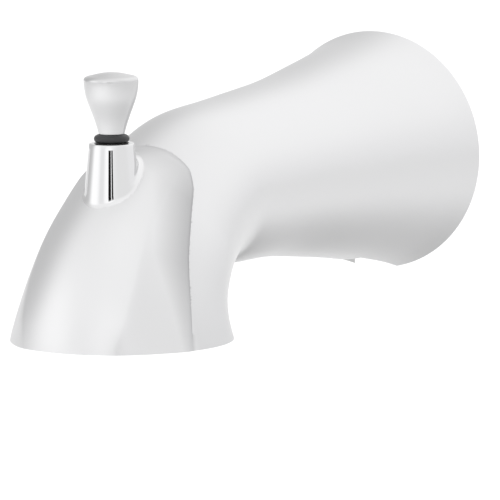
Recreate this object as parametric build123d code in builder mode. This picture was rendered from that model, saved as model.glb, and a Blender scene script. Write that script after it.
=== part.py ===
"""Bath spout with a lift diverter: a cast body that slips onto a copper pipe at the wall,
a waterway tube inside it, and a gate that a knob on top pulls up to send water to the shower.

The spout reaches out from the wall along -Y, +Z is up, and the origin is the middle of the
bell's rim, on the wall. A reach is a distance out from the wall, so it is -Y. Millimetres.
"""

import os
from math import cos, radians, sin

from build123d import *

os.makedirs("parts", exist_ok=True)

# Cast body: the bell at the wall and the neck, as sections along the spout
flange_radius = 32.0
wall = 3.0
# reach, height of the centre, radius
neck_stations = (
    (6.0, 0.1, 30.4),
    (14.0, 0.25, 28.6),
    (30.0, 0.4, 25.9),
    (48.0, 0.5, 23.7),
    (68.0, 0.65, 22.05),
)

# The neck bends down to the mouth about a level line across the spout, at the mouth's height
bend_reach = 88.0
mouth_drop = 34.9
mouth_near = 14.5
mouth_radius = 28.45
# angle turned, distance from that line to the near and to the far wall, half width
bend_stations = (
    (0, 14.0, 55.9, 20.95),
    (12, 15.0, 56.4, 20.95),
    (24, 15.6, 56.9, 21.15),
    (36, 15.6, 57.45, 21.65),
    (47, 15.7, 58.4, 22.3),
    (58, 16.4, 60.2, 23.1),
    (69, 16.8, 63.1, 24.35),
    (80, 15.95, 67.15, 26.3),
)

# The hood bulges over the front of the bend, from the mouth's rim up to its crown in the neck
hood_lead = 0.15
hood_rim_inset = 0.05
hood_wall = 4.0
hood_stations = (
    (81, 17.95, 70.25, 25.75),
    (72, 20.9, 68.7, 23.35),
    (63, 23.5, 66.75, 21.3),
    (54, 26.3, 64.7, 19.5),
    (45, 29.6, 62.7, 17.8),
    (37, 32.5, 59.8, 16.1),
    (30, 34.55, 55.5, 14.25),
    (22, 36.5, 49.4, 11.9),
)

# Notch in the bell's rim, for the key of the set screw
notch_width = 13.0
notch_length = 20.0

# Hub in the bell, which carries the inlet adapter on three webs
hub_start = 20.0
hub_length = 18.0
hub_wall = 3.0
web_thickness = 3.2
web_angles = (90, 215, 325)

# Inlet adapter, which slips over the copper pipe
pipe_bore_radius = 8.2
adapter_recess = 0.8
collar_radius = 14.5
shank_radius = 12.0
pipe_stop = 34.0
stop_thickness = 3.0
tube_socket_depth = 11.0
inlet_seal_section = 2.6
inlet_seal_bite = 0.2
inlet_seal_rear = 17.5
inlet_seal_front = 25.0
snap_ring_thickness = 1.2
snap_ring_depth = 0.8
snap_ring_width = 2.6
snap_ring_opening = 8.0

# Set screw with a hex socket
set_screw_reach = 10.0
set_screw_radius = 3.0
set_screw_length = 6.4
hex_across_flats = 3.0
hex_depth = 3.5

# Waterway tube
tube_bore_radius = 5.5
tube_radius = 7.3
tube_seal_section = 1.6
tube_seal_inset = 5.0

# Gate housing on the front of the tube, with the port and the guide rails
housing_socket_length = 14.0
housing_wall = 3.1
socket_end = 1.0
housing_neck_length = 15.0
chamber_length = 4.5
housing_seal_inset = 3.0
port_radius = 5.2
port_drop = 8.0
port_wall = 2.2
plate_thickness = 2.6
plate_rise = 6.5
plate_corner = 4.0
rail_width = 2.4
rail_rise = 3.0
rail_below_gate = 3.0
rail_lip = 1.2
rail_lip_thickness = 1.3

# Wire clip that locks the housing on the tube
clip_wire_radius = 0.8
clip_groove_depth = 0.8
clip_setback = 7.0
clip_leg_below = 9.0
clip_bow_gap = 0.35
clip_corner = 3.0

# Diverter gate and its washer
lift_travel = 13.0
gate_radius = 7.5
gate_thickness = 2.5
gate_tongue = 0.9
gate_tongue_length = 12.0
washer_radius = 6.6
washer_thickness = 1.8
washer_proud = 0.45
lug_half_width = 4.2
lug_depth = 5.0
lug_to_stem = 2.2
lug_rise = 5.5
lug_below = 3.2
lug_corner = 1.0
pin_radius = 0.8
pin_drop = 1.9
pin_inset = 0.1
washer_screw_radius = 1.2
washer_screw_length = 5.0
washer_head_radius = 2.3
washer_head_thickness = 0.9
washer_head_sunk = 0.1

# Lift stem, and the boss and bushing that guide it
stem_ahead_of_mouth = 4.05
stem_radius = 1.9
stem_in_lug = 3.4
stem_in_knob = 8.7
boss_top = 15.4
boss_top_radius = 5.75
boss_draft = 6.2
boss_fillet = 1.0
bushing_wall = 1.5
bushing_length = 14.0
bushing_recess = 0.3
bushing_flange = 0.9
bushing_flange_thickness = 1.4

# Knob and the ring that it rests on
knob_seal_section = 2.6
knob_neck_radius = 3.0
knob_flare_height = 10.8
knob_flare_radius = 6.45
knob_rim_radius = 6.7
knob_rim_height = 13.4
knob_height = 15.6
knob_shoulder = 5.0
knob_edge = 0.5

# Fits: radial for round pieces
running_gap = 0.05
press_gap = 0.02
slide_gap = 0.2
seat_gap = 0.25
rest_gap = 0.08
blind_gap = 0.3

# Places that follow from the sizes
mouth_far = mouth_near + 2 * mouth_radius
bend_mouth = (90, mouth_near, mouth_far, mouth_radius)
hood_mouth = (
    90,
    mouth_near + hood_lead + hood_rim_inset,
    mouth_far + hood_lead - hood_rim_inset,
    mouth_radius - hood_rim_inset,
)
stem_reach = bend_reach + mouth_near + mouth_radius + stem_ahead_of_mouth
boss_depth = boss_top + mouth_drop / 2
hub_radius = shank_radius + press_gap
inlet_seal_inner = pipe_bore_radius - inlet_seal_bite
inlet_seal_outer = inlet_seal_inner + inlet_seal_section
inlet_groove_width = inlet_seal_section + blind_gap
set_screw_bottom = -pipe_bore_radius - running_gap - set_screw_length
tube_start = pipe_stop + stop_thickness
adapter_end = tube_start + tube_socket_depth
lug_reach = stem_reach - lug_to_stem
gate_reach = lug_reach - gate_thickness
washer_reach = gate_reach - washer_proud
seat_reach = washer_reach - seat_gap
plate_reach = seat_reach - plate_thickness
tube_end = plate_reach - housing_neck_length
tube_length = tube_end - tube_start
tube_socket_radius = tube_radius + running_gap
tube_seal_inner = tube_radius + press_gap
tube_seal_outer = tube_seal_inner + tube_seal_section
tube_groove_width = tube_seal_section + blind_gap
tube_seal_reach = tube_start + tube_seal_inset
housing_radius = tube_socket_radius + housing_wall
housing_start = tube_end - housing_socket_length
housing_seal_reach = housing_start + housing_seal_inset
clip_reach = tube_end - clip_setback
clip_leg_offset = tube_radius - clip_groove_depth + press_gap + clip_wire_radius
clip_slot = 2 * (clip_wire_radius + running_gap)
clip_bow_height = housing_radius + clip_bow_gap + clip_wire_radius
washer_screw_end = washer_reach + washer_head_sunk + washer_head_thickness + washer_screw_length
gate_height = -port_drop - lift_travel
gate_half_width = gate_radius + gate_tongue
channel_half_width = gate_half_width + slide_gap
channel_depth = lug_reach + slide_gap - seat_reach
rail_bottom = gate_height - gate_tongue_length / 2 - rail_below_gate
rail_top = -port_drop + rail_rise
rail_length = rail_top - rail_bottom
rail_offset = channel_half_width + rail_width / 2
lip_offset = channel_half_width - rail_lip / 2
plate_top = -port_drop + plate_rise
plate_half_width = channel_half_width + rail_width
lug_top = gate_height + lug_rise
lug_bottom = gate_height - lug_below
stem_bottom = lug_top - stem_in_lug
pin_plane = Plane((0, -stem_reach, lug_top - pin_drop), x_dir=(0, 1, 0), z_dir=(1, 0, 0))
bushing_radius = stem_radius + running_gap + bushing_wall
bushing_top = boss_top - bushing_recess
knob_bottom = boss_top + rest_gap + knob_seal_section + press_gap
stem_top = knob_bottom + stem_in_knob


def across(reach, height=0.0):
    """Upright plane that faces out from the wall, with its x to the side and its y up."""
    return Plane((0, -reach, height), x_dir=(1, 0, 0), z_dir=(0, -1, 0))


def level(reach, height):
    """Level plane on the spout's middle, with its x to the side and its y to the wall."""
    return Plane((0, -reach, height), x_dir=(1, 0, 0), z_dir=(0, 0, 1))


def neck_sections():
    """Planes and half sizes of the bell's rim and of the neck."""
    rim = (across(0), flange_radius, flange_radius)
    return [rim, *((across(reach, height), radius, radius) for reach, height, radius in neck_stations)]


def bend_sections(stations, inset):
    """Planes that turn about the bend's line, with the half sizes of the ellipse on each."""
    sections = []
    for turned, near, far, half_width in stations:
        turn = radians(turned)
        middle = (near + far) / 2
        centre = (0, -bend_reach - middle * sin(turn), -mouth_drop + middle * cos(turn))
        plane = Plane(centre, x_dir=(1, 0, 0), z_dir=(0, -cos(turn), -sin(turn)))
        sections.append((plane, half_width - inset, (far - near) / 2 - inset))
    return sections


def lofted(sections, ruled=False):
    """Loft ellipses, each drawn as two halves that meet on the spout's middle."""
    with BuildPart() as form:
        for plane, half_width, half_height in sections:
            with BuildSketch(plane):
                with BuildLine():
                    EllipticalCenterArc((0, 0), half_width, half_height, start_angle=90, arc_size=180)
                    EllipticalCenterArc((0, 0), half_width, half_height, start_angle=270, arc_size=180)
                make_face()
        loft(ruled=ruled)
    return form.part


def neck_bore(inset):
    """Cones under the neck's stations, from the bell's rim in to the start of the bend."""
    stations = [(-reach, radius - height - inset) for reach, height, radius in neck_stations]
    with BuildPart() as form:
        with BuildSketch(Plane.YZ):
            with BuildLine():
                Polyline(
                    (0, 0),
                    (0, flange_radius - inset),
                    *stations,
                    (-bend_reach, bend_stations[0][3] - inset),
                    (-bend_reach, 0),
                    close=True,
                )
            make_face()
        revolve(axis=Axis.Y)
    return form.part


def ring(outer_radius, inner_radius, start, thickness):
    """A plain ring or tube about the spout's axis."""
    with BuildPart() as form:
        with BuildSketch(across(start)):
            Circle(outer_radius)
            Circle(inner_radius, mode=Mode.SUBTRACT)
        extrude(amount=thickness)
    return form.part


def rod(radius, height, bottom):
    """A round rod on the stem's axis."""
    with BuildPart() as form:
        with BuildSketch(level(stem_reach, bottom)):
            Circle(radius)
        extrude(amount=height)
    return form.part


def finish(piece, name):
    """Label a piece and write it out."""
    piece.label = name
    export_step(piece, f"parts/{name}.step")


# Forms of the body
outer_bend = lofted(neck_sections() + bend_sections((*bend_stations, bend_mouth), 0))
outer_hood = lofted(bend_sections((hood_mouth, *hood_stations), 0))
bend_bore = lofted(bend_sections((*bend_stations[::2], bend_mouth), wall), ruled=True)
hood_bore = lofted(bend_sections((hood_mouth, *hood_stations[1:6:2]), hood_wall), ruled=True)
straight_bore = neck_bore(wall)
web_limit = neck_bore(wall / 2)

# Hub and webs of the casting
with BuildPart() as hub:
    with BuildSketch(across(hub_start)):
        Circle(hub_radius + hub_wall)
        for angle in web_angles:
            with Locations(Rotation(0, 0, angle)):
                Rectangle(flange_radius, web_thickness, align=(Align.MIN, Align.CENTER))
    extrude(amount=hub_length)
    add(web_limit, mode=Mode.INTERSECT)

# Body: one plated casting of bell, neck, bend, hood and stem boss
with BuildPart() as spout_body:
    add(outer_bend)
    add(outer_hood)
    with BuildSketch(level(stem_reach, boss_top)):
        Circle(boss_top_radius)
    extrude(amount=-boss_depth, taper=-boss_draft)
    boss_root = spout_body.edges(Select.NEW).filter_by(GeomType.CIRCLE, reverse=True)
    fillet(boss_root, boss_fillet)
    for bore in (straight_bore, bend_bore, hood_bore):
        add(bore, mode=Mode.SUBTRACT)
    add(hub.part)
    with BuildSketch(across(hub_start)):
        Circle(hub_radius)
    extrude(amount=hub_length, mode=Mode.SUBTRACT)
    with BuildSketch(level(notch_length / 2, -flange_radius - wall)):
        Rectangle(notch_width, notch_length)
    extrude(amount=flange_radius - collar_radius, mode=Mode.SUBTRACT)
    add(rod(bushing_radius + press_gap, boss_depth, boss_top - boss_depth), mode=Mode.SUBTRACT)
    with BuildSketch(level(stem_reach, boss_top)):
        Circle(bushing_radius + bushing_flange + press_gap)
    extrude(amount=-(bushing_recess + bushing_flange_thickness), mode=Mode.SUBTRACT)
finish(spout_body.part, "spout_body")

# Inlet adapter: collar against the hub, shank through it, pipe bore, stop and tube socket
with BuildPart() as inlet_adapter:
    with BuildSketch(across(adapter_recess)):
        Circle(collar_radius)
    extrude(amount=hub_start - press_gap - adapter_recess)
    with BuildSketch(across(adapter_recess)):
        Circle(shank_radius)
    extrude(amount=adapter_end - adapter_recess)
    with BuildSketch(across(adapter_recess)):
        Circle(pipe_bore_radius)
    extrude(amount=pipe_stop - adapter_recess, mode=Mode.SUBTRACT)
    with BuildSketch(across(adapter_recess)):
        Circle(tube_bore_radius)
    extrude(amount=adapter_end - adapter_recess, mode=Mode.SUBTRACT)
    with BuildSketch(across(tube_start)):
        Circle(tube_socket_radius)
    extrude(amount=tube_socket_depth, mode=Mode.SUBTRACT)
    for seal_reach in (inlet_seal_rear, inlet_seal_front):
        with BuildSketch(across(seal_reach - inlet_groove_width / 2)):
            Circle(inlet_seal_outer + press_gap)
        extrude(amount=inlet_groove_width, mode=Mode.SUBTRACT)
    with BuildSketch(across(tube_seal_reach - tube_groove_width / 2)):
        Circle(tube_seal_outer + press_gap)
    extrude(amount=tube_groove_width, mode=Mode.SUBTRACT)
    with BuildSketch(across(hub_start + hub_length)):
        Circle(collar_radius)
        Circle(shank_radius - snap_ring_depth, mode=Mode.SUBTRACT)
    extrude(amount=snap_ring_thickness + 2 * press_gap, mode=Mode.SUBTRACT)
    with BuildSketch(level(set_screw_reach, -collar_radius)):
        Circle(set_screw_radius + running_gap)
    extrude(amount=collar_radius, mode=Mode.SUBTRACT)
finish(inlet_adapter.part, "inlet_adapter")

# Snap ring in front of the hub, open at the bottom
with BuildPart() as adapter_snap_ring:
    with BuildSketch(across(hub_start + hub_length + press_gap)):
        Circle(shank_radius - snap_ring_depth + press_gap + snap_ring_width)
        Circle(shank_radius - snap_ring_depth + press_gap, mode=Mode.SUBTRACT)
        with Locations((0, -shank_radius)):
            Rectangle(snap_ring_opening, shank_radius, mode=Mode.SUBTRACT)
    extrude(amount=snap_ring_thickness)
finish(adapter_snap_ring.part, "adapter_snap_ring")

# Square-cut seals on the pipe and on the tube
for name, seal_reach in (("inlet_seal_rear", inlet_seal_rear), ("inlet_seal_front", inlet_seal_front)):
    start = seal_reach - inlet_seal_section / 2
    finish(ring(inlet_seal_outer, inlet_seal_inner, start, inlet_seal_section), name)
for name, seal_reach in (("tube_seal", tube_seal_reach), ("housing_seal", housing_seal_reach)):
    start = seal_reach - tube_seal_section / 2
    finish(ring(tube_seal_outer, tube_seal_inner, start, tube_seal_section), name)

# Set screw, with its hex socket at the lower end
with BuildPart() as set_screw:
    with BuildSketch(level(set_screw_reach, set_screw_bottom)):
        Circle(set_screw_radius)
    extrude(amount=set_screw_length)
    with BuildSketch(level(set_screw_reach, set_screw_bottom)):
        RegularPolygon(hex_across_flats / 2, 6, major_radius=False)
    extrude(amount=hex_depth, mode=Mode.SUBTRACT)
finish(set_screw.part, "set_screw")

# Waterway tube, with the clip's groove
with BuildPart() as waterway_tube:
    add(ring(tube_radius, tube_bore_radius, tube_start + press_gap, tube_length - 2 * press_gap))
    with BuildSketch(across(clip_reach - clip_slot / 2)):
        Circle(housing_radius)
        Circle(tube_radius - clip_groove_depth, mode=Mode.SUBTRACT)
    extrude(amount=clip_slot, mode=Mode.SUBTRACT)
finish(waterway_tube.part, "waterway_tube")

# Gate housing: socket on the tube, neck down to the port, seat plate and guide rails
with BuildPart() as gate_housing:
    with BuildSketch(across(housing_start)):
        Circle(housing_radius)
    extrude(amount=housing_socket_length + socket_end)
    with BuildSketch(across(tube_end, -port_drop / 2)):
        SlotCenterToCenter(port_drop, 2 * (port_radius + port_wall), rotation=90)
    extrude(amount=chamber_length + port_wall)
    with BuildSketch(across(tube_end, -port_drop)):
        Circle(port_radius + port_wall)
    extrude(amount=housing_neck_length)
    with BuildSketch(across(plate_reach, (plate_top + rail_bottom) / 2)):
        RectangleRounded(2 * plate_half_width, plate_top - rail_bottom, plate_corner)
    extrude(amount=plate_thickness)
    with BuildSketch(across(seat_reach, (rail_top + rail_bottom) / 2)):
        with Locations((-rail_offset, 0), (rail_offset, 0)):
            Rectangle(rail_width, rail_length)
    extrude(amount=channel_depth + rail_lip_thickness)
    with BuildSketch(across(seat_reach + channel_depth, (rail_top + rail_bottom) / 2)):
        with Locations((-lip_offset, 0), (lip_offset, 0)):
            Rectangle(rail_lip, rail_length)
    extrude(amount=rail_lip_thickness)
    with BuildSketch(across(housing_start)):
        Circle(tube_socket_radius)
    extrude(amount=housing_socket_length, mode=Mode.SUBTRACT)
    with BuildSketch(across(tube_end, -port_drop / 2)):
        SlotCenterToCenter(port_drop, 2 * port_radius, rotation=90)
    extrude(amount=chamber_length, mode=Mode.SUBTRACT)
    with BuildSketch(across(tube_end, -port_drop)):
        Circle(port_radius)
    extrude(amount=housing_neck_length + plate_thickness, mode=Mode.SUBTRACT)
    with BuildSketch(across(housing_seal_reach - tube_groove_width / 2)):
        Circle(tube_seal_outer + press_gap)
    extrude(amount=tube_groove_width, mode=Mode.SUBTRACT)
    with BuildSketch(level(clip_reach, -housing_radius)):
        with Locations((-clip_leg_offset, 0), (clip_leg_offset, 0)):
            Rectangle(clip_slot, clip_slot)
    extrude(amount=2 * housing_radius, mode=Mode.SUBTRACT)
finish(gate_housing.part, "gate_housing")

# Wire clip over the housing, with a leg in each slot
with BuildPart() as housing_clip:
    with BuildLine(across(clip_reach)) as clip_path:
        FilletPolyline(
            (-clip_leg_offset, -clip_leg_below),
            (-clip_leg_offset, clip_bow_height),
            (clip_leg_offset, clip_bow_height),
            (clip_leg_offset, -clip_leg_below),
            radius=clip_corner,
        )
    with BuildSketch(Plane(clip_path.line @ 0, z_dir=clip_path.line % 0)):
        Circle(clip_wire_radius)
    sweep()
finish(housing_clip.part, "housing_clip")

# Bushing in the boss
with BuildPart() as stem_bushing:
    add(rod(bushing_radius, bushing_length, bushing_top - bushing_length))
    add(rod(bushing_radius + bushing_flange, bushing_flange_thickness, bushing_top - bushing_flange_thickness))
    add(rod(stem_radius + running_gap, bushing_length, bushing_top - bushing_length), mode=Mode.SUBTRACT)
finish(stem_bushing.part, "stem_bushing")

# Gate: a disc with side tongues for the rails, and a lug for the stem
with BuildPart() as diverter_gate:
    with BuildSketch(across(gate_reach, gate_height)):
        Circle(gate_radius)
        Rectangle(2 * gate_half_width, gate_tongue_length)
    extrude(amount=gate_thickness)
    with BuildSketch(across(lug_reach, (lug_top + lug_bottom) / 2)):
        RectangleRounded(2 * lug_half_width, lug_top - lug_bottom, lug_corner)
    extrude(amount=lug_depth)
    with BuildSketch(across(gate_reach, gate_height)):
        Circle(washer_radius + press_gap)
    extrude(amount=washer_thickness - washer_proud + press_gap, mode=Mode.SUBTRACT)
    with BuildSketch(across(gate_reach, gate_height)):
        Circle(washer_screw_radius + press_gap)
    extrude(amount=washer_screw_end + blind_gap - gate_reach, mode=Mode.SUBTRACT)
    add(rod(stem_radius + press_gap, lug_rise, stem_bottom - blind_gap), mode=Mode.SUBTRACT)
    with BuildSketch(pin_plane):
        Circle(pin_radius + press_gap)
    extrude(amount=lug_half_width, both=True, mode=Mode.SUBTRACT)
finish(diverter_gate.part, "diverter_gate")

# Washer that closes the port, and the screw that holds it
with BuildPart() as gate_washer:
    with BuildSketch(across(washer_reach, gate_height)):
        Circle(washer_radius)
    extrude(amount=washer_thickness)
    with BuildSketch(across(washer_reach, gate_height)):
        Circle(washer_head_radius + press_gap)
    extrude(amount=washer_head_sunk + washer_head_thickness + press_gap, mode=Mode.SUBTRACT)
    with BuildSketch(across(washer_reach, gate_height)):
        Circle(washer_screw_radius + press_gap)
    extrude(amount=washer_thickness, mode=Mode.SUBTRACT)
finish(gate_washer.part, "gate_washer")
with BuildPart() as washer_screw:
    with BuildSketch(across(washer_reach + washer_head_sunk, gate_height)):
        Circle(washer_head_radius)
    extrude(amount=washer_head_thickness)
    with BuildSketch(across(washer_reach + washer_head_sunk, gate_height)):
        Circle(washer_screw_radius)
    extrude(amount=washer_head_thickness + washer_screw_length)
finish(washer_screw.part, "washer_screw")

# Lift stem, with the hole for the cross pin
with BuildPart() as lift_stem:
    add(rod(stem_radius, stem_top - stem_bottom, stem_bottom))
    with BuildSketch(pin_plane):
        Circle(pin_radius + press_gap)
    extrude(amount=lug_half_width, both=True, mode=Mode.SUBTRACT)
finish(lift_stem.part, "lift_stem")
with BuildPart() as gate_pin:
    with BuildSketch(pin_plane):
        Circle(pin_radius)
    extrude(amount=lug_half_width - pin_inset, both=True)
finish(gate_pin.part, "gate_pin")

# Knob: a flared side under a shallow dome, and the ring between it and the boss
with BuildPart() as diverter_knob:
    with BuildSketch(across(stem_reach, knob_bottom)) as knob_profile:
        with BuildLine():
            side = Polyline(
                (0, 0),
                (knob_neck_radius, 0),
                (knob_flare_radius, knob_flare_height),
                (knob_rim_radius, knob_rim_height),
            )
            dome = TangentArc((0, knob_height), side @ 1, tangent=(1, 0))
            Line(side @ 0, dome @ 0)
        make_face()
        rim, shoulder = knob_profile.vertices().sort_by(Axis.X)[-1:-3:-1]
        fillet(rim, knob_edge)
        fillet(shoulder, knob_shoulder)
    revolve(axis=Axis((0, -stem_reach, 0), (0, 0, 1)))
    add(rod(stem_radius + press_gap, stem_in_knob + blind_gap, knob_bottom), mode=Mode.SUBTRACT)
finish(diverter_knob.part, "diverter_knob")
with BuildPart() as knob_o_ring:
    with Locations((0, -stem_reach, boss_top + rest_gap + knob_seal_section / 2)):
        Torus(stem_radius + press_gap + knob_seal_section / 2, knob_seal_section / 2)
finish(knob_o_ring.part, "knob_o_ring")
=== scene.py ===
"""Bath spout with a lift diverter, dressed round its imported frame.

The scene is in metres, with +Z up and -Y out of the wall. Shapes are worked out in millimetres,
and a reach is a distance out of the wall.
"""

import bpy
import numpy as np
from mathutils import Matrix


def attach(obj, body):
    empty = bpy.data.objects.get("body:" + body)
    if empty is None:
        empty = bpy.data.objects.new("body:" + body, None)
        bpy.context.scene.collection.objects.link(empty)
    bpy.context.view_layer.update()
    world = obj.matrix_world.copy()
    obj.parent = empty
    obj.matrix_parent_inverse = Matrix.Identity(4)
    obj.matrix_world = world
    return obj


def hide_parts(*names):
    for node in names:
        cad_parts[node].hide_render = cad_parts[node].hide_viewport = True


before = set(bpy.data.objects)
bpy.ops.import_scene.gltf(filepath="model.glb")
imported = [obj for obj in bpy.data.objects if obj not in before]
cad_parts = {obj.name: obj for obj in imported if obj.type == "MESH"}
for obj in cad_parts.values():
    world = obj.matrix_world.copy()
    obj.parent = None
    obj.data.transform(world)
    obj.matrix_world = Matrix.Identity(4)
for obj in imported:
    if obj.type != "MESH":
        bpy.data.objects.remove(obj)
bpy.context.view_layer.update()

# Cast body: one bright-plated zinc casting. The neck is a bell that narrows from the wall and
# bends down to the mouth, the hood bulges over the front of the bend, and the boss for the stem
# stands on the hood. The core leaves a wall of about 3 mm, a hub on three webs, and a key notch.
mm = 0.001
wall = 3.0
hood_wall = 4.0
round_steps = 224
steps_between = 12
hood_steps = 137

# Neck: reach, height of the centre, radius
neck_rows = np.array(
    [(0, 0, 32.0), (6, 0.1, 30.5), (14, 0.25, 28.9), (30, 0.4, 26.3), (48, 0.4, 23.85), (68, 0.6, 22.1)]
)

# Bend: reach and height of the level line that it turns about, the angle turned at the mouth's rim,
# and for each row its angle, the distances from that line to the near and far wall, and half width
bend_line = np.array((88.0, -34.9))
rim_turned = 90
bend_rows = np.array(
    [
        (0, 14.0, 56.3, 20.95),
        (12, 15.0, 56.4, 20.95),
        (24, 15.6, 56.4, 21.15),
        (36, 15.6, 57.1, 21.65),
        (47, 15.7, 58.4, 22.3),
        (58, 16.1, 60.2, 23.4),
        (69, 16.4, 63.1, 24.65),
        (80, 15.7, 67.15, 26.45),
        (90, 14.5, 71.4, 28.45),
    ]
)

# Hood: rows as for the bend, from the mouth's rim up to the crown in the neck
hood_rows = np.array(
    [
        (90, 14.7, 71.5, 28.4),
        (81, 17.95, 70.15, 25.5),
        (72, 20.9, 68.5, 23.0),
        (63, 23.5, 66.5, 20.95),
        (54, 26.3, 64.2, 18.95),
        (45, 29.6, 62.3, 17.35),
        (41, 31.1, 61.3, 16.8),
        (37, 32.5, 59.8, 16.1),
        (35, 33.15, 58.7, 15.65),
        (33.5, 33.6, 57.85, 15.25),
        (30, 34.55, 55.5, 14.25),
        (22, 36.5, 49.4, 11.9),
    ]
)

# Crease, where each of the hood's rows meets the neck: across, and away from the bend's line
crease_rows = np.array(
    [
        (26.75, 52.6),
        (24.95, 50.7),
        (22.95, 49.95),
        (20.9, 49.8),
        (19.05, 49.9),
        (17.0, 50.5),
        (15.9, 51.05),
        (14.0, 52.25),
        (12.2, 53.35),
        (9.4, 54.8),
        (5.0, 54.4),
        (3.0, 49.0),
    ]
)

# Ridge on each side of the hood, and its edge rolled into the crease: leans and bends in degrees
ridge_turned = (45, 56, 66, 75, 85, 90)
ridge_lean = (47.5, 45, 43.5, 40.5, 33.5, 29)
ridge_column = 0.75
ridge_step = 6.0
ridge_half = 1.6
ridge_fade = 45.0
edge_roll = 40.0
edge_width = 6.0
edge_back = 140.0
edge_draw = 27.0
edge_draw_power = 1.5
fade_turned = (32, 45, 84, 90)
fade_share = (0, 1, 1, 0.6)
outline_steps = 1441


def natural_spline(knots, values, where):
    """Cubic spline through values at knots, with no bend at its ends, read at where.

    The second slopes m solve h0 m0 + 2 (h0 + h1) m1 + h1 m2 = 6 (slope1 - slope0).
    """
    flat = values.reshape(len(knots), -1)
    gaps = np.diff(knots)
    slopes = np.diff(flat, axis=0) / gaps[:, None]
    inner = np.arange(1, len(knots) - 1)
    system = np.eye(len(knots))
    system[inner, inner - 1] = gaps[:-1]
    system[inner, inner] = 2 * (gaps[:-1] + gaps[1:])
    system[inner, inner + 1] = gaps[1:]
    right = np.zeros_like(flat)
    right[1:-1] = 6 * np.diff(slopes, axis=0)
    bend = np.linalg.solve(system, right)
    cell = np.clip(np.searchsorted(knots, where, side="right") - 1, 0, len(gaps) - 1)
    gap = gaps[cell][:, None]
    ahead = (where - knots[cell])[:, None] / gap
    back = 1 - ahead
    curve = (back**3 - back) * bend[cell] + (ahead**3 - ahead) * bend[cell + 1]
    read = back * flat[cell] + ahead * flat[cell + 1] + curve * gap**2 / 6
    return read.reshape(len(where), *values.shape[1:])


def full_turn(steps):
    """Even angles once round, without the last, which is the first again."""
    return np.linspace(0, 2 * np.pi, steps, endpoint=False)


def ring(reach, height, side, up_reach, up_height):
    """Closed rings: the centre, plus side sin(turn) across, plus (up_reach, up_height) cos(turn)."""
    turn = full_turn(round_steps)
    x = side[:, None] * np.sin(turn)
    y = -(reach[:, None] + up_reach[:, None] * np.cos(turn))
    z = height[:, None] + up_height[:, None] * np.cos(turn)
    return np.stack([x, y, z], axis=-1)


def neck_rings(rows):
    """Upright circles along the neck."""
    return ring(rows[:, 0], rows[:, 1], rows[:, 2], 0 * rows[:, 2], rows[:, 2])


def bend_rings(rows, inset):
    """Ellipses on planes that turn about the bend's line, inset from near, far and sides."""
    turned = np.radians(rows[:, 0])
    middle = (rows[:, 1] + rows[:, 2]) / 2
    half = (rows[:, 2] - rows[:, 1]) / 2 - inset
    reach = bend_line[0] + middle * np.sin(turned)
    height = bend_line[1] + middle * np.cos(turned)
    return ring(reach, height, rows[:, 3] - inset, half * np.sin(turned), half * np.cos(turned))


def smooth_rings(rings):
    """The rings joined by splines along the spout, spaced by the mean distance between rings."""
    lengths = np.linalg.norm(np.diff(rings, axis=0), axis=2).mean(axis=1)
    knots = np.concatenate([[0], np.cumsum(lengths)])
    steps = np.arange((len(knots) - 1) * steps_between + 1) / steps_between
    return natural_spline(knots, rings, np.interp(steps, np.arange(len(knots)), knots))


def hood_rings():
    """The hood's ellipses, splined along it, with a soft ridge on each side and a rolled edge.

    Along each ellipse the slope turns by more than the ellipse's own: backward before the ridge,
    forward after it, and forward again at the edge. The outline is the running sum of the slope,
    and its side is drawn out so that the edge comes to the crease. One column of the mesh follows
    the ridge.
    """
    knots = hood_rows[0, 0] - hood_rows[:, 0]
    rows = natural_spline(knots, np.hstack([hood_rows, crease_rows]), np.linspace(0, knots[-1], hood_steps))
    fine = np.linspace(0, np.pi, outline_steps)
    turn = full_turn(round_steps)
    folded = np.minimum(turn, 2 * np.pi - turn)
    rings = []
    for turned, near, far, side, crease_across, crease_away in rows:
        half = (far - near) / 2
        lean = np.degrees(np.arctan2(np.sin(fine) / side, np.cos(fine) / half))
        ridge = np.interp(turned, ridge_turned, ridge_lean)
        edge = np.degrees(np.arctan2(crease_across / side**2, (crease_away - near - half) / half**2))
        bends = np.interp(
            lean,
            (0, ridge - ridge_half, ridge + ridge_half, ridge + ridge_fade),
            (0, -ridge_step, ridge_step, 0),
        )
        bends = bends + np.interp(lean, (edge - edge_width, edge, edge_back), (0, edge_roll, 0))
        slope = np.radians(lean + np.interp(turned, fade_turned, fade_share) * bends)
        path = np.hypot(side * np.cos(fine), half * np.sin(fine)) * (fine[1] - fine[0])
        across = np.cumsum(path * np.cos(slope)) - path[0]
        away = far - np.cumsum(path * np.sin(slope))
        drawn = np.clip(1 - (edge - lean) / edge_draw, 0, 1) ** edge_draw_power
        across = across + (crease_across - np.interp(edge, lean, across)) * drawn
        away = away + (crease_away - np.interp(edge, lean, away)) * drawn
        hidden = np.clip((lean - edge) / (180 - edge), 0, 1)
        across = across - across[-1] * hidden
        away = away - (away[-1] - near) * hidden
        spread = np.interp(folded, (0, ridge_column, np.pi), (0, np.interp(ridge, lean, fine), np.pi))
        x = np.interp(spread, fine, across) * np.where(turn > np.pi, -1, 1)
        out = np.interp(spread, fine, away)
        y = -(bend_line[0] + out * np.sin(np.radians(turned)))
        z = bend_line[1] + out * np.cos(np.radians(turned))
        rings.append(np.stack([x, y, z], axis=-1))
    return np.array(rings)


def turned_rings(profile, reach):
    """Rings of a profile of (radius, height) turned about the upright axis at that reach."""
    turn = full_turn(round_steps)
    x = profile[:, :1] * np.cos(turn)
    y = -reach + profile[:, :1] * np.sin(turn)
    z = np.repeat(profile[:, 1:], round_steps, axis=1)
    return np.stack([x, y, z], axis=-1)


def bar_rings(outline, axis, ends):
    """An outline of two coordinates, set at both ends along the third."""
    return np.stack([np.insert(outline, axis, end, axis=1) for end in ends])


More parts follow.
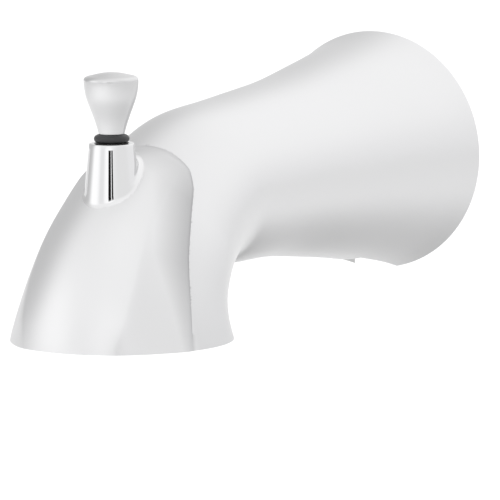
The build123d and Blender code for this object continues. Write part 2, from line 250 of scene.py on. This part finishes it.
def read_mesh(collection, key, width, kind=np.int32):
    """One array of a value of a mesh's vertices, edges, faces or corners, with width to a row."""
    values = np.empty(len(collection) * width, dtype=kind)
    collection.foreach_get(key, values)
    return values.reshape(-1, width)


def skin(name, spots, faces, material):
    """A piece from spots in millimetres and faces, which are turned to point outwards.

    They are turned round if the signed volume, a sixth of the sum of a . (b x c), is negative.
    """
    mesh = bpy.data.meshes.new(name)
    mesh.from_pydata((spots.reshape(-1, 3) * mm).tolist(), [], faces)
    mesh.materials.append(material)
    mesh.update()
    mesh.calc_loop_triangles()
    corners = read_mesh(mesh.loop_triangles, "vertices", 3)
    a, b, c = read_mesh(mesh.vertices, "co", 3, float)[corners].transpose(1, 0, 2)
    if np.einsum("ij,ij->i", a, np.cross(b, c)).sum() < 0:
        mesh.flip_normals()
    piece = bpy.data.objects.new(name, mesh)
    bpy.context.scene.collection.objects.link(piece)
    return piece


def closed_tube(name, rings, material):
    """A closed mesh from rings of equal count: quads between them and one flat face on each end."""
    rows, count = rings.shape[:2]
    index = np.arange(rows * count).reshape(rows, count)
    after = np.roll(index, -1, axis=1)
    quads = np.stack([index[:-1], index[1:], after[1:], after[:-1]], axis=-1).reshape(-1, 4)
    ends = [index[0].tolist(), index[-1][::-1].tolist()]
    return skin(name, rings, quads.tolist() + ends, material)


def plate_material(name, colour, roughness, spread, grain):
    """Bright plate: a metal whose gloss drifts a little in clouds, with a very fine grain."""
    material = bpy.data.materials.new(name)
    material.use_nodes = True
    nodes = material.node_tree.nodes
    links = material.node_tree.links
    shader = nodes["Principled BSDF"]
    shader.inputs["Base Color"].default_value = (*colour, 1)
    shader.inputs["Metallic"].default_value = 1
    place = nodes.new("ShaderNodeTexCoord")
    cloud = nodes.new("ShaderNodeTexNoise")
    cloud.inputs["Scale"].default_value = 60
    cloud.inputs["Detail"].default_value = 3
    gloss = nodes.new("ShaderNodeMapRange")
    gloss.inputs["To Min"].default_value = roughness - spread
    gloss.inputs["To Max"].default_value = roughness + spread
    fine = nodes.new("ShaderNodeTexNoise")
    fine.inputs["Scale"].default_value = 2600
    fine.inputs["Detail"].default_value = 2
    bump = nodes.new("ShaderNodeBump")
    bump.inputs["Strength"].default_value = grain
    bump.inputs["Distance"].default_value = 0.02 * mm
    links.new(place.outputs["Object"], cloud.inputs["Vector"])
    links.new(place.outputs["Object"], fine.inputs["Vector"])
    links.new(cloud.outputs["Fac"], gloss.inputs["Value"])
    links.new(gloss.outputs["Result"], shader.inputs["Roughness"])
    links.new(fine.outputs["Fac"], bump.inputs["Height"])
    links.new(bump.outputs["Normal"], shader.inputs["Normal"])
    return material


# The body's plate gets painted shade where its attribute says: a darker colour by the crease and on the
# mouth's flare
plate_colour = (0.64, 0.64, 0.645)
painted_shade_colour = (0.37, 0.37, 0.375)
core_colour = (0.5, 0.5, 0.5)
body_plate = plate_material("soft_bright_plate", plate_colour, roughness=0.33, spread=0.02, grain=0.04)
nodes = body_plate.node_tree.nodes
links = body_plate.node_tree.links
# Painted shade: the attribute mixes the plate's colour towards a dark colour
painted_shade = nodes.new("ShaderNodeAttribute")
painted_shade.attribute_name = "painted_shade"
tone = nodes.new("ShaderNodeMix")
tone.data_type = "RGBA"
tone.inputs["A"].default_value = (*plate_colour, 1)
tone.inputs["B"].default_value = (*painted_shade_colour, 1)
links.new(painted_shade.outputs["Fac"], tone.inputs["Factor"])
links.new(tone.outputs["Result"], nodes["Principled BSDF"].inputs["Base Color"])
boss_plate = plate_material("polished_boss_plate", plate_colour, roughness=0.04, spread=0.01, grain=0.01)
core_plate = plate_material("rough_core_plate", core_colour, roughness=0.5, spread=0.08, grain=0.5)

# Outer forms of the neck and hood, and their cores, of which the hood's stops short of the crown
hood_bore_end = 36
neck_and_bend = np.concatenate([neck_rings(neck_rows), bend_rings(bend_rows, 0)])
outer_bend = closed_tube("spout_skin", smooth_rings(neck_and_bend), body_plate)
outer_hood = closed_tube("hood_form", hood_rings(), body_plate)
hood_bore_rows = hood_rows[hood_rows[:, 0] > hood_bore_end]
bend_bore = closed_tube("bend_bore", smooth_rings(bend_rings(bend_rows, wall)), core_plate)
hood_bore = closed_tube("hood_bore", smooth_rings(bend_rings(hood_bore_rows, hood_wall)), core_plate)
neck_bore_rows = np.array(
    [
        (-1, 0, 29.28),
        (0, 0, 29.0),
        (6, 0, 27.3),
        (14, 0, 25.35),
        (30, 0, 22.5),
        (48, 0, 20.2),
        (68, 0, 18.4),
        (88, 0, 17.95),
    ]
)
neck_bore = closed_tube("neck_bore", neck_rings(neck_bore_rows), core_plate)

# Boss on the hood: a drafted shaft, with a fillet at its root that widens to the back
stem_reach = 135.0
boss_top = 15.75
boss_top_radius = 5.75
boss_draft = np.tan(np.radians(6.2))
boss_fillet_front = 0.7
boss_fillet_back = 3.4
boss_edge = 0.25
boss_sunk = 2.5
toe_rise = 0.01
heel_drop = 1.0
fillet_steps = 9
shaft_steps = 13
edge_steps = 6
root_rounds = 12
halvings = 40
height_inside = -20.0
height_above = 22.0


def hood_height(x, reach):
    """Height of the hood's upper skin over a spot, by halving a span from inside it to above it.

    A height is inside while its place on the ellipse of its own row is under 1.
    """
    low = np.full(len(x), height_inside)
    high = np.full(len(x), height_above)
    rows = hood_rows[::-1]
    for _ in range(halvings):
        middle = (low + high) / 2
        turned = np.degrees(np.arctan2(reach - bend_line[0], middle - bend_line[1]))
        away = np.hypot(reach - bend_line[0], middle - bend_line[1])
        near, far, side = natural_spline(rows[:, 0], rows[:, 1:], turned).T
        half = (far - near) / 2
        inside = ((away - near - half) / half) ** 2 + (x / side) ** 2 < 1
        low = np.where(inside, middle, low)
        high = np.where(inside, high, middle)
    return (low + high) / 2


def hood_under(radius, turn):
    """Height of the hood under a ring of that radius about the stem's axis."""
    return hood_height(radius * np.cos(turn), stem_reach - radius * np.sin(turn))


def shaft_radius(height):
    """Radius of the drafted shaft at a height."""
    return boss_top_radius + (boss_top - height) * boss_draft


def filleted(toe, root, heel):
    """Curve from toe to heel, drawn to the root: (1 - s)^2 toe + 2 s (1 - s) root + s^2 heel."""
    share = np.linspace(0, 1, fillet_steps)[:, None]
    return (1 - share) ** 2 * toe + 2 * share * (1 - share) * root + share**2 * heel


def boss_rings():
    """The boss from its sunk foot up: fillet, shaft and rounded top edge, round the stem's axis."""
    turn = full_turn(round_steps)
    root_height = np.zeros(round_steps)
    for _ in range(root_rounds):
        root_radius = shaft_radius(root_height)
        root_height = hood_under(root_radius, turn)
    fillet = boss_fillet_front + (boss_fillet_back - boss_fillet_front) * (1 + np.sin(turn)) / 2
    toe_radius = root_radius + fillet
    toe_height = hood_under(toe_radius, turn) + toe_rise
    heel_height = np.minimum(root_height + fillet, boss_top - heel_drop)
    shaft_share = np.linspace(0, 1, shaft_steps)[1:, None]
    shaft_height = heel_height + (boss_top - boss_edge - heel_height) * shaft_share
    edge_turn = np.linspace(0, np.pi / 2, edge_steps)[1:, None]
    radius = np.concatenate(
        [
            toe_radius[None],
            filleted(toe_radius, root_radius, shaft_radius(heel_height)),
            shaft_radius(shaft_height),
            boss_top_radius - boss_edge + boss_edge * np.cos(edge_turn) + 0 * turn,
        ]
    )
    height = np.concatenate(
        [
            toe_height[None] - boss_sunk,
            filleted(toe_height, root_height, heel_height),
            shaft_height,
            boss_top - boss_edge + boss_edge * np.sin(edge_turn) + 0 * turn,
        ]
    )
    return np.stack([radius * np.cos(turn), -stem_reach + radius * np.sin(turn), height], axis=-1)


boss = closed_tube("stem_boss", boss_rings(), boss_plate)
bushing_seat = np.array([(3.47, -6), (3.47, 13.7), (4.37, 13.7), (4.37, 15.55), (4.55, 15.95)])
bushing_hole = closed_tube("bushing_hole", turned_rings(bushing_seat, stem_reach), core_plate)

# Key notch in the bell's rim, and the hub with its webs
notch_half = 6.5
notch_length = 20.0
notch_past_rim = 1.0
notch_levels = (-36.0, -17.5)
notch_outline = np.array(
    [
        (-notch_half, notch_past_rim),
        (notch_half, notch_past_rim),
        (notch_half, -notch_length),
        (-notch_half, -notch_length),
    ]
)
notch = closed_tube("key_notch", bar_rings(notch_outline, 2, notch_levels), core_plate)
hub_start = 20.0
hub_end = 38.0
hub_radius = 15.02
hub_hole_radius = 12.02
hub_hole_over = 0.5
web_angles = (90, 215, 325)
web_half = 1.6
web_inner = 10.0
web_outer = 24.2
hub_rows = np.array([(hub_start, 0, hub_radius), (hub_end, 0, hub_radius)])
hub = closed_tube("hub", neck_rings(hub_rows), core_plate)
hub_hole_rows = np.array(
    [(hub_start - hub_hole_over, 0, hub_hole_radius), (hub_end + hub_hole_over, 0, hub_hole_radius)]
)
hub_hole = closed_tube("hub_hole", neck_rings(hub_hole_rows), core_plate)
webs = []
for angle in np.radians(web_angles):
    out = np.array((np.cos(angle), np.sin(angle)))
    aside = np.array((-out[1], out[0])) * web_half
    inner = out * web_inner
    outer = out * web_outer
    web_outline = np.array([inner - aside, outer - aside, outer + aside, inner + aside])
    webs.append(closed_tube("web", bar_rings(web_outline, 1, (-hub_start, -hub_end)), core_plate))

# One casting from these forms
sharp_angle = np.radians(24)
steps = [
    ("UNION", outer_hood),
    ("UNION", boss),
    ("DIFFERENCE", neck_bore),
    ("DIFFERENCE", bend_bore),
    ("DIFFERENCE", hood_bore),
    ("UNION", hub),
    *(("UNION", web) for web in webs),
    ("DIFFERENCE", hub_hole),
    ("DIFFERENCE", notch),
    ("DIFFERENCE", bushing_hole),
]
for operation, other in steps:
    cut = outer_bend.modifiers.new(other.name, "BOOLEAN")
    cut.operation = operation
    cut.solver = "MANIFOLD"
    cut.material_mode = "TRANSFER"
    cut.object = other
bpy.context.view_layer.update()
joined = bpy.data.meshes.new_from_object(outer_bend.evaluated_get(bpy.context.evaluated_depsgraph_get()))
outer_bend.modifiers.clear()
outer_bend.data = joined
for _, other in steps:
    bpy.data.objects.remove(other)
joined.shade_smooth()
joined.set_sharp_from_angle(angle=sharp_angle)

# Painted shade in the plate's colour, by the angle turned: how wide and how strong it is on the hood
# beside the crease, how strong on the flare and how far away from the bend's line that ends, and the
# crease's tail
painted_shade_turned = (30, 34, 38, 46, 66, 81, 90)
painted_shade_width = (15.0, 15.0, 13.0, 12.0, 11.0, 5.5, 3.0)
painted_shade_depth = (0.4, 0.46, 0.75, 1.0, 1.0, 0.8, 0.6)
flare_shade_turned = (49, 90)
flare_shade_depth = (0.0, 0.32)
flare_shade_end = (50.0, 54.0)
proud_least = 0.1
crease_end = 87.0
tail_start = 85.5
tail_shade_width = 1.1
tail_steps = 25
past_rim = 92
batches = 40


def crease_tail():
    """Spots along the last of the crease on both sides, splined through its rows down to the rim."""
    turned = np.linspace(tail_start, rim_turned, tail_steps)
    knots = rim_turned - hood_rows[:, 0]
    across, away = natural_spline(knots, crease_rows, rim_turned - turned).T
    y = -bend_line[0] - away * np.sin(np.radians(turned))
    z = bend_line[1] + away * np.cos(np.radians(turned))
    return np.concatenate([np.stack([side * across, y, z], axis=1) for side in (1, -1)])


def paint_crease_shade(mesh):
    """Writes painted shade for the plate, from 0 to 1: most on the crease, less away from it on the hood.

    A spot's height over the neck's skin is its place on the skin's ellipse, less 1, times the mean
    half axis. The crease is the line of spots on the skin that touch the hood, and its tail. Behind
    it the flare gets more painted shade the lower it is.
    """
    spots = read_mesh(mesh.vertices, "co", 3, float) / mm
    reach = -spots[:, 1] - bend_line[0]
    rise = spots[:, 2] - bend_line[1]
    away = np.hypot(reach, rise)
    turned = np.degrees(np.arctan2(reach, rise))
    on_bend = np.clip(turned, 0, rim_turned)
    near, far, side = natural_spline(bend_rows[:, 0], bend_rows[:, 1:], on_bend).T
    half = (far - near) / 2
    place = np.hypot((away - near - half) / half, spots[:, 0] / side)
    proud = (place - 1) * (half + side) / 2

    counts = read_mesh(mesh.polygons, "loop_total", 1).ravel()
    finish = read_mesh(mesh.polygons, "material_index", 1).ravel()
    corners = read_mesh(mesh.loops, "vertex_index", 1).ravel()
    plated = np.zeros(len(spots), dtype=bool)
    plated[corners[np.repeat(finish, counts) == mesh.materials.find(body_plate.name)]] = True
    on_hood = plated & (proud > proud_least) & (turned > 0) & (turned < past_rim)
    behind = plated & ~on_hood & (turned < past_rim)
    first, second = read_mesh(mesh.edges, "vertices", 2).T
    beside = np.zeros(len(spots), dtype=bool)
    beside[first[on_hood[second]]] = True
    beside[second[on_hood[first]]] = True
    crease = beside & plated & (np.abs(proud) < proud_least) & (turned < crease_end)
    line = np.concatenate([spots[crease], crease_tail()])

    level = crease.astype(float)
    for part in np.array_split(np.flatnonzero(on_hood), batches):
        gone = np.linalg.norm(spots[part][:, None] - line, axis=2).min(axis=1)
        level[part] = np.clip(1 - gone / np.interp(turned[part], painted_shade_turned, painted_shade_width), 0, 1)
    by_tail = behind & (turned > tail_start)
    gone = np.linalg.norm(spots[by_tail][:, None] - line, axis=2).min(axis=1)
    level[by_tail] = np.maximum(level[by_tail], np.clip(1 - gone / tail_shade_width, 0, 1))
    level = level * np.interp(turned, painted_shade_turned, painted_shade_depth)
    flare_shade = np.interp(turned, flare_shade_turned, flare_shade_depth) * np.interp(away, flare_shade_end, (1, 0))
    level = np.where(behind, np.maximum(level, flare_shade), level)
    mesh.attributes.new("painted_shade", "FLOAT", "POINT").data.foreach_set("value", level)


paint_crease_shade(joined)
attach(outer_bend, "spout")
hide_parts("spout_body")

# Knob: turned from bar, polished and plated. A flared cone with a soft shoulder and a shallow dome,
# pressed on the stem, which goes up into its blind hole.
knob_bottom = 17.85
knob_steps = 90
pole_radius = 0.002
knob_sharp_angle = np.radians(40)
knob_colour = (0.57, 0.57, 0.575)
knob_plate = plate_material("polished_knob_plate", knob_colour, roughness=0.22, spread=0.01, grain=0.02)
knob_hole = np.array([(0.0, 9.2), (1.92, 9.2), (1.92, 0.0), (3.1, 0.0)])
knob_side = np.array(
    [
        (3.25, 0.12),
        (3.75, 2.0),
        (4.65, 4.75),
        (5.65, 7.4),
        (6.52, 10.1),
        (6.86, 12.1),
        (6.95, 13.1),
        (6.97, 13.85),
        (6.88, 14.35),
        (6.55, 14.66),
        (5.2, 15.1),
        (3.5, 15.5),
        (1.75, 15.77),
        (0.0, 15.85),
    ]
)
side_knots = np.concatenate([[0], np.cumsum(np.linalg.norm(np.diff(knob_side, axis=0), axis=1))])
side_curve = natural_spline(side_knots, knob_side, np.linspace(0, side_knots[-1], knob_steps))
knob_profile = np.concatenate([knob_hole, side_curve])
knob_profile[:, 0] = np.maximum(knob_profile[:, 0], pole_radius)
knob_profile[:, 1] += knob_bottom
knob = closed_tube("lift_knob", turned_rings(knob_profile, stem_reach), knob_plate)
knob.data.shade_smooth()
knob.data.set_sharp_from_angle(angle=knob_sharp_angle)
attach(knob, "diverter")
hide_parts("diverter_knob")

# O-ring under the knob: black moulded rubber, round in section and a little squashed. It grips the
# stem and rests on the boss while the knob is down.
ring_section = 1.3
ring_squash = 0.83
ring_middle = 3.22
ring_bottom = 15.8
ring_steps = 48
rubber_colour = (0.012, 0.012, 0.013)


def rubber_material(name, colour):
    """Dull black rubber: a faint bloom in patches and a fine moulded grain."""
    material = bpy.data.materials.new(name)
    material.use_nodes = True
    nodes = material.node_tree.nodes
    links = material.node_tree.links
    shader = nodes["Principled BSDF"]
    shader.inputs["Specular IOR Level"].default_value = 0.4
    place = nodes.new("ShaderNodeTexCoord")
    bloom = nodes.new("ShaderNodeTexNoise")
    bloom.inputs["Scale"].default_value = 500
    tint = nodes.new("ShaderNodeMix")
    tint.data_type = "RGBA"
    tint.inputs["A"].default_value = (*colour, 1)
    tint.inputs["B"].default_value = (*(2 * part for part in colour), 1)
    gloss = nodes.new("ShaderNodeMapRange")
    gloss.inputs["To Min"].default_value = 0.38
    gloss.inputs["To Max"].default_value = 0.55
    bump = nodes.new("ShaderNodeBump")
    bump.inputs["Strength"].default_value = 0.15
    bump.inputs["Distance"].default_value = 0.02 * mm
    links.new(place.outputs["Object"], bloom.inputs["Vector"])
    links.new(bloom.outputs["Fac"], tint.inputs["Factor"])
    links.new(bloom.outputs["Fac"], gloss.inputs["Value"])
    links.new(bloom.outputs["Fac"], bump.inputs["Height"])
    links.new(tint.outputs["Result"], shader.inputs["Base Color"])
    links.new(gloss.outputs["Result"], shader.inputs["Roughness"])
    links.new(bump.outputs["Normal"], shader.inputs["Normal"])
    return material


def looped_tube(name, rings, material):
    """A closed mesh from rings whose last joins the first, with quads between them and no ends."""
    rows, count = rings.shape[:2]
    index = np.arange(rows * count).reshape(rows, count)
    above = np.roll(index, -1, axis=0)
    after = np.roll(index, -1, axis=1)
    beyond = np.roll(above, -1, axis=1)
    quads = np.stack([index, above, beyond, after], axis=-1).reshape(-1, 4)
    return skin(name, rings, quads.tolist(), material)


black_rubber = rubber_material("black_rubber", rubber_colour)
section_turn = full_turn(ring_steps)
section_radius = ring_middle - ring_section * np.cos(section_turn)
section_height = ring_bottom + ring_squash * ring_section * (1 + np.sin(section_turn))
ring_profile = np.stack([section_radius, section_height], axis=1)
knob_ring = looped_tube("knob_ring", turned_rings(ring_profile, stem_reach), black_rubber)
knob_ring.data.shade_smooth()
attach(knob_ring, "diverter")
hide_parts("knob_o_ring")


# Seals and the gate's washer: the same black rubber, cut or moulded square. The seals sit in grooves
# round the pipe and the tube, and the washer in the face of the gate.
def finish_nodes(material, *names):
    """Gives a finish to pieces that keep their CAD shape."""
    for name in names:
        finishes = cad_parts[name].data.materials
        finishes.clear()
        finishes.append(material)


finish_nodes(
    black_rubber, "inlet_seal_rear", "inlet_seal_front", "tube_seal", "housing_seal", "gate_washer"
)

# Turned brass: the inlet adapter, held in the hub by its snap ring, and the waterway tube pushed
# into it, with fine turning lines round the spout's axis and slight tarnish.
brass_colour = (0.78, 0.58, 0.27)
tarnish_colour = (0.6, 0.42, 0.18)
brass = bpy.data.materials.new("turned_brass")
brass.use_nodes = True
nodes = brass.node_tree.nodes
links = brass.node_tree.links
shader = nodes["Principled BSDF"]
shader.inputs["Metallic"].default_value = 1
place = nodes.new("ShaderNodeTexCoord")
lines = nodes.new("ShaderNodeTexWave")
lines.bands_direction = "Y"
lines.inputs["Scale"].default_value = 700
lines.inputs["Distortion"].default_value = 1.5
tarnish = nodes.new("ShaderNodeTexNoise")
tarnish.inputs["Scale"].default_value = 90
tint = nodes.new("ShaderNodeMix")
tint.data_type = "RGBA"
tint.inputs["A"].default_value = (*brass_colour, 1)
tint.inputs["B"].default_value = (*tarnish_colour, 1)
gloss = nodes.new("ShaderNodeMapRange")
gloss.inputs["To Min"].default_value = 0.22
gloss.inputs["To Max"].default_value = 0.36
links.new(place.outputs["Object"], lines.inputs["Vector"])
links.new(place.outputs["Object"], tarnish.inputs["Vector"])
links.new(tarnish.outputs["Fac"], tint.inputs["Factor"])
links.new(tint.outputs["Result"], shader.inputs["Base Color"])
links.new(lines.outputs["Fac"], gloss.inputs["Value"])
links.new(gloss.outputs["Result"], shader.inputs["Roughness"])
finish_nodes(brass, "inlet_adapter", "waterway_tube")

# Steel pieces: the drawn stem, the stamped snap ring, the clip's bent wire, the cross pin and the
# two screws, all with the fine grain of drawn bar.
steel_colour = (0.62, 0.62, 0.63)
steel = plate_material("drawn_steel", steel_colour, roughness=0.3, spread=0.06, grain=0.2)
finish_nodes(
    steel, "lift_stem", "adapter_snap_ring", "housing_clip", "gate_pin", "set_screw", "washer_screw"
)

# Moulded pieces: the housing and the gate in white plastic, clipped to the tube and pinned to the
# stem, and the stem's bushing in black, pressed into the boss.
white_colour = (0.8, 0.8, 0.78)
black_colour = (0.03, 0.03, 0.03)


def moulded_material(name, colour, roughness):
    """Moulded plastic: an even colour with slight flow clouds and a fine spark-eroded grain."""
    material = bpy.data.materials.new(name)
    material.use_nodes = True
    nodes = material.node_tree.nodes
    links = material.node_tree.links
    shader = nodes["Principled BSDF"]
    shader.inputs["Roughness"].default_value = roughness
    place = nodes.new("ShaderNodeTexCoord")
    flow = nodes.new("ShaderNodeTexNoise")
    flow.inputs["Scale"].default_value = 120
    tint = nodes.new("ShaderNodeMix")
    tint.data_type = "RGBA"
    tint.inputs["A"].default_value = (*colour, 1)
    tint.inputs["B"].default_value = (*(0.9 * part for part in colour), 1)
    grain = nodes.new("ShaderNodeTexNoise")
    grain.inputs["Scale"].default_value = 3000
    bump = nodes.new("ShaderNodeBump")
    bump.inputs["Strength"].default_value = 0.2
    bump.inputs["Distance"].default_value = 0.02 * mm
    links.new(place.outputs["Object"], flow.inputs["Vector"])
    links.new(place.outputs["Object"], grain.inputs["Vector"])
    links.new(flow.outputs["Fac"], tint.inputs["Factor"])
    links.new(tint.outputs["Result"], shader.inputs["Base Color"])
    links.new(grain.outputs["Fac"], bump.inputs["Height"])
    links.new(bump.outputs["Normal"], shader.inputs["Normal"])
    return material


white_plastic = moulded_material("white_moulding", white_colour, roughness=0.45)
black_plastic = moulded_material("black_moulding", black_colour, roughness=0.4)
finish_nodes(white_plastic, "gate_housing", "diverter_gate")
finish_nodes(black_plastic, "stem_bushing")

# Stage: a plain pale floor below the spout. Its paint has a painted shadow, greyer under the spout,
# which the plate's lower sides reflect, and is pale further off.
floor_level = -0.16
floor_half = 6.0
painted_shadow_centre = (-0.04, -0.06, floor_level)
painted_shadow_within = 0.06
pale_beyond = 0.38
painted_shadow_paint = (0.41, 0.41, 0.41, 1)
pale_paint = (0.85, 0.85, 0.85, 1)
floor_mesh = bpy.data.meshes.new("floor")
floor_mesh.from_pydata(
    [
        (-floor_half, -floor_half, floor_level),
        (floor_half, -floor_half, floor_level),
        (floor_half, floor_half, floor_level),
        (-floor_half, floor_half, floor_level),
    ],
    [],
    [(0, 1, 2, 3)],
)
floor = bpy.data.objects.new("floor", floor_mesh)
bpy.context.scene.collection.objects.link(floor)
floor_paint = bpy.data.materials.new("pale_floor_with_painted_shadow")
floor_paint.use_nodes = True
nodes = floor_paint.node_tree.nodes
links = floor_paint.node_tree.links
shader = nodes["Principled BSDF"]
shader.inputs["Roughness"].default_value = 0.9
place = nodes.new("ShaderNodeTexCoord")
# Painted shadow: grey paint within a spot under the spout, fading to pale further off
apart = nodes.new("ShaderNodeVectorMath")
apart.operation = "DISTANCE"
apart.inputs[1].default_value = painted_shadow_centre
fade = nodes.new("ShaderNodeMapRange")
fade.interpolation_type = "SMOOTHSTEP"
fade.inputs["From Min"].default_value = painted_shadow_within
fade.inputs["From Max"].default_value = pale_beyond
tint = nodes.new("ShaderNodeMix")
tint.data_type = "RGBA"
tint.inputs["A"].default_value = painted_shadow_paint
tint.inputs["B"].default_value = pale_paint
links.new(place.outputs["Object"], apart.inputs[0])
links.new(apart.outputs["Value"], fade.inputs["Value"])
links.new(fade.outputs["Result"], tint.inputs["Factor"])
links.new(tint.outputs["Result"], shader.inputs["Base Color"])
floor_mesh.materials.append(floor_paint)

# Light: a white tent, brighter in front, on the left and high up, greyer on the right and behind on
# the left, with two dark bars in front that show in the polished boss. Two lamps that the plate
# doesn't reflect light the floor.
camera_yaw = np.radians(30.584)
front = np.array((np.sin(camera_yaw), -np.cos(camera_yaw), 0))
to_right = np.array((np.cos(camera_yaw), np.sin(camera_yaw), 0))
overhead = (0, 0, 1)
tent_strength = 1.42
tent_colour = (0.845, 0.845, 0.85, 1)
bar_tone = 0.01
bar_side_blur = 0.01
bar_end_blur = 0.03
bar_front = (0.5, 0.6)
world = bpy.data.worlds.new("tent")
bpy.context.scene.world = world
world.use_nodes = True
nodes = world.node_tree.nodes
links = world.node_tree.links
place = nodes.new("ShaderNodeTexCoord")


def towards(turned, raised):
    """Direction turned to the right of the camera's side and raised over the level, in degrees."""
    turned, raised = np.radians((turned, raised))
    level = np.cos(turned) * front + np.sin(turned) * to_right
    return tuple(np.cos(raised) * level + np.sin(raised) * np.array(overhead))


def tent_cosine(direction):
    """Cosine of the angle to a direction."""
    dot = nodes.new("ShaderNodeVectorMath")
    dot.operation = "DOT_PRODUCT"
    dot.inputs[1].default_value = direction
    links.new(place.outputs["Generated"], dot.inputs[0])
    return dot.outputs["Value"]


def tent_patch(direction, start, end):
    """0 to 1 as the cosine to a direction goes from start to end."""
    patch = nodes.new("ShaderNodeMapRange")
    patch.interpolation_type = "SMOOTHSTEP"
    patch.inputs["From Min"].default_value = start
    patch.inputs["From Max"].default_value = end
    links.new(tent_cosine(direction), patch.inputs["Value"])
    return patch.outputs["Result"]


def tent_band(direction, middle, half, blur):
    """1 where the cosine to a direction is within half of the middle, falling to 0 over blur."""
    off = nodes.new("ShaderNodeMath")
    off.operation = "SUBTRACT"
    off.inputs[1].default_value = middle
    size = nodes.new("ShaderNodeMath")
    size.operation = "ABSOLUTE"
    fall = nodes.new("ShaderNodeMapRange")
    fall.inputs["From Min"].default_value = half
    fall.inputs["From Max"].default_value = half + blur
    fall.inputs["To Min"].default_value = 1
    fall.inputs["To Max"].default_value = 0
    links.new(tent_cosine(direction), off.inputs[0])
    links.new(off.outputs["Value"], size.inputs[0])
    links.new(size.outputs["Value"], fall.inputs["Value"])
    return fall.outputs["Result"]


def tent_bar(turned, half, low, high):
    """A bar in front of the spout: a band across times a band between two heights, in degrees."""
    across = tent_band(tuple(to_right), np.sin(np.radians(turned)), np.radians(half), bar_side_blur)
    middle = np.sin(np.radians((low + high) / 2))
    upward = tent_band(overhead, middle, np.radians((high - low) / 2), bar_end_blur)
    level = across
    for limit in (upward, tent_patch(tuple(front), *bar_front)):
        times = nodes.new("ShaderNodeMath")
        times.operation = "MULTIPLY"
        links.new(level, times.inputs[0])
        links.new(limit, times.inputs[1])
        level = times.outputs["Value"]
    return level


# Each patch is a direction, the cosines where it starts and where it is full, and a grey tone,
# and each bar is its turn to the right, its half width and its lower and upper ends
patches = (
    (overhead, 0.0, 0.5, 0.93),
    (overhead, 0.6, 1.0, 0.87),
    (towards(0, 64), 0.86, 1.0, 0.96),
    (towards(-80, 6), 0.85, 1.0, 1.1),
    (towards(-14, 7), 0.9, 1.0, 1.08),
    (towards(130, 42), 0.75, 1.0, 0.97),
    (towards(50, 8), 0.75, 0.97, 0.81),
    (towards(-142, 14), 0.55, 0.97, 0.54),
)
bars = ((-9.5, 5.2, 2.5, 7.5), (2, 3.0, 2.5, 7.5))
covers = [(tent_patch(direction, start, end), tone) for direction, start, end, tone in patches]
covers += [(tent_bar(*bar), bar_tone) for bar in bars]
tent = None
for cover, tone in covers:
    mix = nodes.new("ShaderNodeMix")
    mix.data_type = "RGBA"
    mix.inputs["A"].default_value = tent_colour
    mix.inputs["B"].default_value = (tone, tone, tone, 1)
    links.new(cover, mix.inputs["Factor"])
    if tent is not None:
        links.new(tent, mix.inputs["A"])
    tent = mix.outputs["Result"]
links.new(tent, nodes["Background"].inputs["Color"])
nodes["Background"].inputs["Strength"].default_value = tent_strength


def floor_lamp(name, spot, size, energy):
    """A rectangular lamp over the floor, facing down, that glossy surfaces don't see."""
    light = bpy.data.lights.new(name, "AREA")
    light.shape = "RECTANGLE"
    light.size, light.size_y = size
    light.energy = energy
    lamp = bpy.data.objects.new(name, light)
    lamp.location = spot
    lamp.visible_glossy = False
    bpy.context.scene.collection.objects.link(lamp)


floor_lamp("back_floor_light", spot=(-0.9, 1.5, 1.2), size=(1.6, 2.4), energy=5)
floor_lamp("front_floor_light", spot=(-0.15, -0.6, 0.5), size=(0.5, 0.5), energy=3)

# Camera: on the right in front of the spout and a little above it, as in the photograph, with a
# long lens and a slight roll.
camera_pitch = np.radians(7.468)
camera_roll = np.radians(-0.522)
camera_spot = np.array((924.47, -1630.97, 218.62)) * mm
picture_width = 500
lens_in_pixels = 7000
sensor_width = 36
ahead = -np.cos(camera_pitch) * front - np.sin(camera_pitch) * np.array(overhead)
upward = np.cross(to_right, ahead)
camera_right = np.cos(camera_roll) * to_right + np.sin(camera_roll) * upward
camera_up = -np.sin(camera_roll) * to_right + np.cos(camera_roll) * upward
camera_data = bpy.data.cameras.new("camera")
camera_data.sensor_width = sensor_width
camera_data.lens = lens_in_pixels / picture_width * sensor_width
camera_data.clip_end = 50
camera = bpy.data.objects.new("camera", camera_data)
camera_axes = np.stack([camera_right, camera_up, -ahead, camera_spot], axis=1)
camera.matrix_world = Matrix([*camera_axes.tolist(), (0, 0, 0, 1)])
bpy.context.scene.collection.objects.link(camera)
bpy.context.scene.camera = camera
bpy.context.scene.view_settings.view_transform = "Standard"
